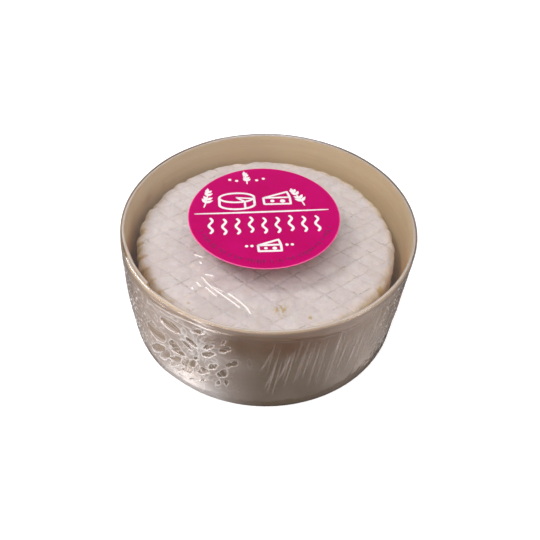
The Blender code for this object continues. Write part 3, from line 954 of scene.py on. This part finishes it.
def under_relief(angle, radius):
    """Pleats underneath, where the film gathers towards the vent hole, and its straight weld."""
    pleats = np.maximum(0.0, np.cos(23.0 * angle + 2.0 * np.sin(3.0 * angle))) ** 2
    gathered = bump(radius - 14.0 * MM, 11.0 * MM)
    weld = bump(radius * np.sin(angle - 0.3), 0.5 * MM)
    return 0.25 * MM * (pleats * gathered + weld) * ease(FILM_RADIUS - radius, 1.0 * MM, 8.0 * MM)


def film_swell(angle, height):
    """How far the film stands off its round shape: over the overlap, and slack beside it."""
    belly = np.sin(math.pi * ease(height, 0.0, FILM_TOP))
    slack = FILM_SLACK * bump(turned(angle, SLACK_ANGLE), SLACK_SPREAD) * belly
    return LAP_SHIFT * lapped(angle) + slack


def film_rows(count=1):
    """Rows down the film as (radius, height, out, up), the last two giving the way that it faces, with
    the given count down the side."""
    flat, inner = FILM_RADIUS - FILM_TOP_CORNER, FILM_RADIUS - FILM_FOOT_CORNER
    high, low = FILM_TOP - FILM_TOP_CORNER, FILM_FOOT_CORNER
    radii = [
        float(radius)
        for start, end, step in ((2.0, 24.0, 2.0), (24.0, 42.0, 0.22), (42.2, flat / MM, 0.6))
        for radius in np.arange(start * MM, end * MM, step * MM)
    ]
    top = [(radius, FILM_TOP, 0.0, 1.0) for radius in radii]
    side = list(rounded(flat, high, FILM_TOP_CORNER, 8))
    side += [(FILM_RADIUS, high + (low - high) * i / count, 1.0, 0.0) for i in range(1, count)]
    side += rounded(inner, low, FILM_FOOT_CORNER, 5, math.pi / 2)
    under = [(inner + (VENT_RADIUS - inner) * i / 40, 0.0, 0.0, -1.0) for i in range(1, 41)]
    return top, side, under


def film_points(rows, angles):
    """Points of the film along the given rows and angles, with how cloudy it is at each."""
    rows = np.array(rows)
    angle = angles + 0.0 * rows[:, :1]
    radius, height, out, up = (rows[:, i:i + 1] + 0.0 * angle for i in range(4))
    swell = film_swell(angle, height) * ease(radius, VENT_RADIUS * 2, FILM_RADIUS * 0.97)
    x, y = polar(radius + swell, angle, lean(height))
    over, below = np.maximum(up, 0.0), np.maximum(-up, 0.0)
    height = height - over * (FILM_TOP - film_height(x, y))
    creased, cloudy = top_relief(x, y)
    moved, haze_and_glints = creased * over, (0.015 + cloudy) * over
    if rows[:, 2].max() > 0.0:
        side, cloudy = side_relief(angle, FILM_TOP - height)
        moved = moved + side * np.maximum(out, 0.0) * ease(height, 0.0, 4.0 * MM)
        haze_and_glints = haze_and_glints + cloudy * out
    lifted = under_relief(angle, radius) * below
    x, y = x + moved * out * np.cos(angle), y + moved * out * np.sin(angle)
    height = height + moved * over + lifted
    return np.stack((x, y, height), axis=-1), haze_and_glints + (0.08 + 0.3 * lifted / MM) * below


def build_film(material):
    """The film in pieces that share their borders: over the top, round the side, and under."""
    top, side, under = film_rows()
    around = np.linspace(0.0, TURN, FILM_STEPS, endpoint=False)
    parts = [("film_top", top + side[:1], around), ("film_under", side[-1:] + under, around)]
    for name, start, end, steps, count in SIDE_SPANS:
        angles = np.linspace(math.radians(start), math.radians(end), steps)
        parts.append((name, film_rows(count)[1], angles))
    for name, rows, angles in parts:
        rings, haze_and_glints = film_points(rows, angles)
        points, values = rings.reshape(-1, 3).tolist(), haze_and_glints.ravel()
        faces = [face[::-1] for face in ring_faces(len(rows), len(angles), closed=angles is around)]
        if name == "film_top":
            middle = lean(FILM_TOP)
            points.append((middle, 0.0, float(film_height(middle, 0.0))))
            faces += fan_faces(FILM_STEPS, 0, len(points) - 1, True)
            values = np.append(values, values[0])
        piece = new_piece(name, points, faces, material)
        give_values(piece, "haze_and_glints", values)
        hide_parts("film")


# Sticker and its print

def sticker_height(x, y):
    """Upper face of the sticker, which lies on the film."""
    return film_height(x, y) + CLEARANCE + STICKER_THICKNESS


def build_sticker(material):
    angle = np.linspace(0.0, TURN, STICKER_STEPS, endpoint=False)
    edge = STICKER_THICKNESS / 2
    rows = [(STICKER_RADIUS * i / 24, 0.0) for i in range(1, 24)] + [(STICKER_RADIUS - 0.35 * MM, 0.0)]
    rows += [(STICKER_RADIUS - edge + edge * math.sin(a), edge * (math.cos(a) - 1.0))
             for a in (math.pi * i / 6 for i in range(7))]
    rows += [(STICKER_RADIUS * share, -STICKER_THICKNESS) for share in (0.8, 0.5, 0.2)]
    rings, bare = [], []
    for radius, drop in rows:
        x, y = polar(radius, angle, *STICKER_CENTRE)
        rings.append(np.stack((x, y, sticker_height(x, y) + drop), axis=-1))
        bare += [float(radius > STICKER_RADIUS - 0.3 * MM or drop < -edge)] * STICKER_STEPS
    middle = float(sticker_height(*STICKER_CENTRE))
    ends = [(*STICKER_CENTRE, level) for level in (middle, middle - STICKER_THICKNESS)]
    label = new_piece("label", *closed_rings(rings, *ends), material)
    give_values(label, "bare", bare + [0.0, 1.0])
    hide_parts("sticker")
    return label


def on_arc(x, y, wide, high, start, end, steps=24):
    """Points along part of an ellipse, with its angles in degrees."""
    angles = [math.radians(start + (end - start) * i / steps) for i in range(steps + 1)]
    return [(x + wide * math.cos(a), y + high * math.sin(a)) for a in angles]


def on_line(*corners):
    """Points along straight lines between corners, close enough for a brush to follow."""
    points = []
    for (x0, y0), (x1, y1) in zip(corners, corners[1:]):
        steps = max(2, round(math.hypot(x1 - x0, y1 - y0) / 0.4))
        points += [(x0 + (x1 - x0) * i / steps, y0 + (y1 - y0) * i / steps) for i in range(steps)]
    return points + [corners[-1]]


def wedge(x, y, size):
    """A wedge of cheese seen from the side, with its holes."""
    def at(across, up):
        return x + across * size, y + up * size
    strokes = [
        (on_line(at(-1.0, 0.1), at(0.85, 0.75), at(1.0, 0.1), at(-1.0, 0.1)), 0.75),
        (on_line(at(-1.0, 0.1), at(-0.98, -0.62), at(1.0, -0.66), at(1.0, 0.1)), 0.75),
    ]
    dots = [(*at(-0.35, -0.28), 0.16 * size), (*at(0.42, -0.32), 0.2 * size)]
    return strokes, dots


def wheel(x, y, wide, high, deep):
    """A whole cheese seen from the side, with one slice cut."""
    cut_x, cut_y = x + wide * 0.45, y - high * 0.89
    return [
        (on_arc(x, y, wide, high, 0.0, 360.0, 40), 0.8),
        (on_line((x - wide, y), (x - wide, y - deep)) + on_arc(x, y - deep, wide, high, 180.0, 360.0, 24)
         + on_line((x + wide, y - deep), (x + wide, y)), 0.8),
        (on_line((x, y), (cut_x, cut_y), (cut_x, cut_y - deep)), 0.65),
        (on_line((x, y), (x + wide * 0.95, y - high * 0.3)), 0.65),
    ]


def sprig(x, y, length, tilt):
    """A small herb sprig: a bent stem with pairs of leaves, each a short stroke that swells."""
    stem, leaves = [], []
    for i in range(13):
        share = i / 12
        way = math.radians(tilt + 10.0 * share)
        stem.append((x + length * share * math.cos(way), y + length * share * math.sin(way)))
    for share in (0.25, 0.45, 0.65, 0.85):
        foot = stem[round(share * 12)]
        for side in (-1, 1):
            way = math.radians(tilt + side * (52.0 - 20.0 * share))
            reach = length * (0.34 - 0.16 * share)
            tip = (foot[0] + reach * math.cos(way), foot[1] + reach * math.sin(way))
            leaves.append((on_line(foot, tip), 1.15))
    leaves.append((on_line(stem[-2], (stem[-1][0], stem[-1][1] + 0.9)), 0.9))
    return [(stem, 0.45)], leaves


def heat_wave(x, y, height):
    """A rising wisp of heat."""
    return [(x + 0.55 * math.sin(TURN * 1.5 * i / 18), y + height * i / 18) for i in range(19)]


class Brush:
    """Collects flat strokes in the sticker's own millimetres and lays them on it as one mesh."""

    def __init__(self, name, material, seed):
        self.name, self.material = name, material
        self.points, self.faces = [], []
        self.dice = random.Random(seed)

    def lay(self, x, y):
        turn_x = x * math.cos(STICKER_TURN) - y * math.sin(STICKER_TURN)
        turn_y = x * math.sin(STICKER_TURN) + y * math.cos(STICKER_TURN)
        x, y = STICKER_CENTRE[0] + turn_x * MM, STICKER_CENTRE[1] + turn_y * MM
        self.points.append((x, y, float(sticker_height(x, y)) + INK_GAP))
        return len(self.points) - 1

    def stroke(self, path, width, swell=None):
        """A line with rounded ends whose width wavers as a hand-drawn one does."""
        count = len(path)
        rails = []
        for i, (x, y) in enumerate(path):
            before, after = path[max(0, i - 1)], path[min(count - 1, i + 1)]
            run, rise = after[0] - before[0], after[1] - before[1]
            length = math.hypot(run, rise) or 1.0
            share = i / (count - 1)
            half = width / 2 * (1.0 + 0.07 * self.dice.uniform(-1.0, 1.0))
            if swell is not None:
                half *= swell(share)
            rails.append((self.lay(x - rise / length * half, y + run / length * half),
                          self.lay(x + rise / length * half, y - run / length * half)))
        for (a, b), (c, d) in zip(rails, rails[1:]):
            self.faces.append((a, b, d, c))
        if swell is None:
            for end, beside in ((0, 1), (count - 1, count - 2)):
                self.cap(path[end], path[beside], width / 2)

    def cap(self, end, beside, radius):
        """The round end of a stroke."""
        away = math.atan2(end[1] - beside[1], end[0] - beside[0])
        self.fill(*end, radius, [away - math.pi / 2 + math.pi * i / 6 for i in range(7)])

    def dot(self, x, y, radius):
        self.fill(x, y, radius, [TURN * i / 14 for i in range(14)])

    def fill(self, x, y, radius, angles):
        face = [self.lay(x + radius * math.cos(a), y + radius * math.sin(a)) for a in angles]
        self.faces.append(face)

    def draw(self, strokes, dots=(), swell=None):
        for path, width in strokes:
            self.stroke(path, width, swell)
        for dot in dots:
            self.dot(*dot)

    def finish(self):
        piece = new_piece(self.name, self.points, self.faces, self.material)
        return piece


# The herb sprigs on the sticker: x and y of the foot in mm, length in mm and tilt in degrees
SPRIGS = ((-18.8, 4.2, 8.6, 72.0), (13.2, 3.6, 8.6, 104.0), (-4.5, 15.6, 5.8, 88.0))


def draw_label(white, dark):
    """A generic kitchen drawing: sprigs, a wheel and a wedge, a rule, and wisps of heat."""
    def leaf_swell(share):
        return math.sin(math.pi * min(1.0, 0.08 + share)) ** 0.7

    def rule_swell(share):
        return 0.35 + 0.65 * math.sin(math.pi * share) ** 0.4

    for x, y, length, tilt in SPRIGS:
        stem, leaves = sprig(x, y, length, tilt)
        white.draw(stem)
        white.draw(leaves, swell=leaf_swell)
    white.draw(wheel(-8.3, 8.4, 5.6, 2.3, 3.4))
    white.draw(*wedge(4.6, 7.4, 4.3))
    white.draw((), [(x, 17.6 + 0.4 * math.sin(x), 0.55) for x in (-10.2, -7.9, -1.2, 1.1)])
    white.stroke(on_line((-21.8, 1.0), (20.6, 1.0)), 0.75, rule_swell)
    for i in range(9):
        white.stroke(heat_wave(-16.8 + 4.1 * i, -8.4 + 0.4 * math.cos(2.1 * i), 6.6), 0.8)
    white.draw(*wedge(0.4, -14.4, 3.4))
    white.draw((), [(x, -14.2, 0.5) for x in (-6.4, -4.8, 5.6, 7.2)])
    dice = random.Random(8)
    angle = 199.0
    while angle < 341.0:
        way = math.radians(angle)
        low, high = 20.3, 20.3 + dice.uniform(0.7, 1.5)
        foot, tip = ((r * math.cos(way), r * math.sin(way)) for r in (low, high))
        dark.stroke([foot, tip], 0.3)
        angle += dice.choice((2.2, 2.6, 3.0, 5.0))


# Stage

def build_camera():
    data = bpy.data.cameras.new("camera")
    data.sensor_width = SENSOR_WIDTH
    data.lens = FOCAL_LENGTH
    data.clip_start, data.clip_end = NEAREST_SEEN, FURTHEST_SEEN
    camera = bpy.data.objects.new("camera", data)
    bpy.context.scene.collection.objects.link(camera)
    forward = Vector((0.0, math.cos(VIEW_DOWN), -math.sin(VIEW_DOWN)))
    up = Vector((0.0, math.sin(VIEW_DOWN), math.cos(VIEW_DOWN)))
    right = Vector((1.0, 0.0, 0.0))
    cos, sin = math.cos(VIEW_ROLL), math.sin(VIEW_ROLL)
    turn = Matrix((right * cos + up * sin, up * cos - right * sin, -forward)).transposed()
    camera.matrix_world = Matrix.Translation(VIEW_TARGET - forward * VIEW_DISTANCE) @ turn.to_4x4()
    bpy.context.scene.camera = camera


# Towards the bright place behind the pack that shines on the far edge of the sticker
WINDOW_DIRECTION = (-0.10, 0.86, 0.50)
# How bright the room looks where glossy surfaces mirror it, against the light that it gives
MIRRORED_ROOM = 0.45
ROOM_LOW = (0.15, 0.138, 0.13)
ROOM_HIGH = (0.73, 0.72, 0.72)
WINDOW = (1.1, 1.05, 1.1)
BACKDROP = (0.93, 0.93, 0.93)


def build_world():
    """Soft room light that is bright overhead and behind, and dim towards the ground."""
    world = bpy.data.worlds.new("room")
    bpy.context.scene.world = world
    room = Nodes(world)
    direction = room.add("TexCoord").outputs["Generated"]
    height = room.add("SeparateXYZ", direction).outputs["Z"]
    shade = room.blend(room.spread(height, -0.1, 0.9), ROOM_LOW, ROOM_HIGH)
    facing = room.add("VectorMath", direction, WINDOW_DIRECTION, operation="DOT_PRODUCT").outputs["Value"]
    colour = room.blend(room.spread(facing, 0.93, 1.0), shade, WINDOW)
    light = room.tree.nodes["Background"]
    room.feed(light.inputs["Color"], colour)
    mirrored = room.add("Background", colour, MIRRORED_ROOM)
    backdrop = room.add("Background", BACKDROP)
    path = room.add("LightPath").outputs
    seen = room.mix_shaders(path["Is Glossy Ray"], light.outputs[0], mirrored.outputs[0])
    seen = room.mix_shaders(path["Is Camera Ray"], seen, backdrop.outputs[0])
    room.feed(room.tree.nodes["World Output"].inputs["Surface"], seen)


FLOOR_HALF = 3.0


def build_floor():
    """The plain pale floor, which lights nothing and isn't mirrored."""
    ground = new_nodes("floor")
    ground.look((0.80, 0.80, 0.80), 0.9)
    ground.feed(ground.shader.inputs["Emission Color"], (1.0, 1.0, 1.0))
    ground.feed(ground.shader.inputs["Emission Strength"], 0.45)
    half = FLOOR_HALF
    corners = [(-half, -half, 0.0), (half, -half, 0.0), (half, half, 0.0), (-half, half, 0.0)]
    floor = new_object("floor", corners, [(0, 1, 2, 3)], ground.owner)
    floor.location.z = -0.1 * MM
    floor.visible_diffuse = False
    floor.visible_glossy = False


# How bright the floor beside the pack looks in the film: angle and spread in degrees, and brightness
REFLECTIONS = (
    (229.0, 25.0, 0.6),
    (276.0, 24.0, 0.18),
    (318.0, 20.0, 0.50),
    (110.0, 50.0, 0.35),
)
# The same right at the pack's foot, and further away, out of the pack's shade
FOOT_GLINT = (239.0, 8.0, 4.0)
LIT_FLOOR = (
    (230.0, 24.0, 5.5),
    (325.0, 15.0, 4.0),
)
FLOOR_REFLECTION = 0.16
LIT_FLOOR_REFLECTION = 0.5
WARM_GLOW = (1.0, 0.89, 0.85)


def build_reflector():
    """A low card beside the pack, brightest at its left, that only glossy surfaces show."""
    steps, rows = 180, 48
    angle = np.linspace(0.0, TURN, steps, endpoint=False) + np.zeros((rows, 1))
    radius = np.geomspace(48.0 * MM, 900.0 * MM, rows)[:, None] + 0.0 * angle
    points = np.stack((*polar(radius, angle), 0.0 * angle), axis=-1).reshape(-1, 3).tolist()
    card = new_object("reflector", points, ring_faces(rows, steps), glow_material())
    card.location.z = 0.2 * MM
    glow, lit = (
        sum(power * about(angle, at, wide) for at, wide, power in places_lit)
        for places_lit in (REFLECTIONS, LIT_FLOOR)
    )
    distant = ease(radius, 85.0 * MM, 130.0 * MM)
    at, wide, power = FOOT_GLINT
    glow = glow + power * about(angle, at, wide) * (1.0 - ease(radius, 49.0 * MM, 54.0 * MM))
    glow = glow * (1.0 - distant) + (LIT_FLOOR_REFLECTION + lit) * distant + FLOOR_REFLECTION
    give_values(card, "glow", glow)
    for name in ("camera", "diffuse", "transmission", "shadow"):
        setattr(card, "visible_" + name, False)


def glow_material():
    glow = new_nodes("glow")
    glow.tree.nodes.clear()
    patchy = glow.spread(glow.texture(glow.place(), 45.0, 3.0), 0.25, 0.75, 0.55, 1.45)
    light = glow.add("Emission", WARM_GLOW, glow.times(glow.read("glow"), patchy))
    glow.add("OutputMaterial", light.outputs[0])
    return glow.owner


KEY_DIRECTION = Vector((-0.56, -0.05, 0.827))
# Each light's place, width, height, power, colour, and the kind of surface that doesn't show it
LIGHTS = {
    "key": (KEY_DIRECTION * 0.9, 0.14, 0.2, 2.6, (1.0, 0.985, 0.975), "glossy"),
    "overhead": ((0.0, -0.05, 0.75), 0.6, 0.6, 0.45, (1.0, 0.985, 0.98), None),
    "front": ((-0.10, -0.42, 0.68), 0.4, 0.3, 2.3, (1.0, 0.985, 0.975), "glossy"),
    "left": ((-0.72, -0.40, 0.26), 0.4, 0.25, 1.85, (1.0, 0.96, 0.97), "glossy"),
    "right": ((0.75, -0.35, 0.45), 0.25, 0.35, 1.2, (1.0, 0.96, 0.93), None),
    "glint": ((-0.63, 0.22, 0.60), 0.3, 0.3, 3.0, (1.0, 0.98, 0.97), "diffuse"),
}
LIT_PLACE = Vector((0.0, 0.0, 0.02))


def build_lights():
    for name, (place, wide, high, power, colour, unseen_by) in LIGHTS.items():
        data = bpy.data.lights.new(name, "AREA")
        data.shape = "RECTANGLE"
        data.size, data.size_y = wide, high
        data.energy, data.color = power, colour
        light = bpy.data.objects.new(name, data)
        light.location = place
        light.rotation_euler = (LIT_PLACE - Vector(place)).to_track_quat("-Z", "Y").to_euler()
        bpy.context.scene.collection.objects.link(light)
        if unseen_by:
            setattr(light, "visible_" + unseen_by, False)


build_camera()
build_world()
build_floor()
build_lights()
build_reflector()
bpy.context.scene.view_settings.view_transform = "Standard"

veneer = veneer_material()
build_hoop(veneer)
build_base(veneer)
build_cheese(rind_material())
build_film(film_material())
build_sticker(paper_material())
white_ink = Brush("print_white", ink_material("white_ink", WHITE_INK), 5)
dark_ink = Brush("print_dark", ink_material("dark_ink", DARK_INK), 6)
draw_label(white_ink, dark_ink)
white_ink.finish()
dark_ink.finish()
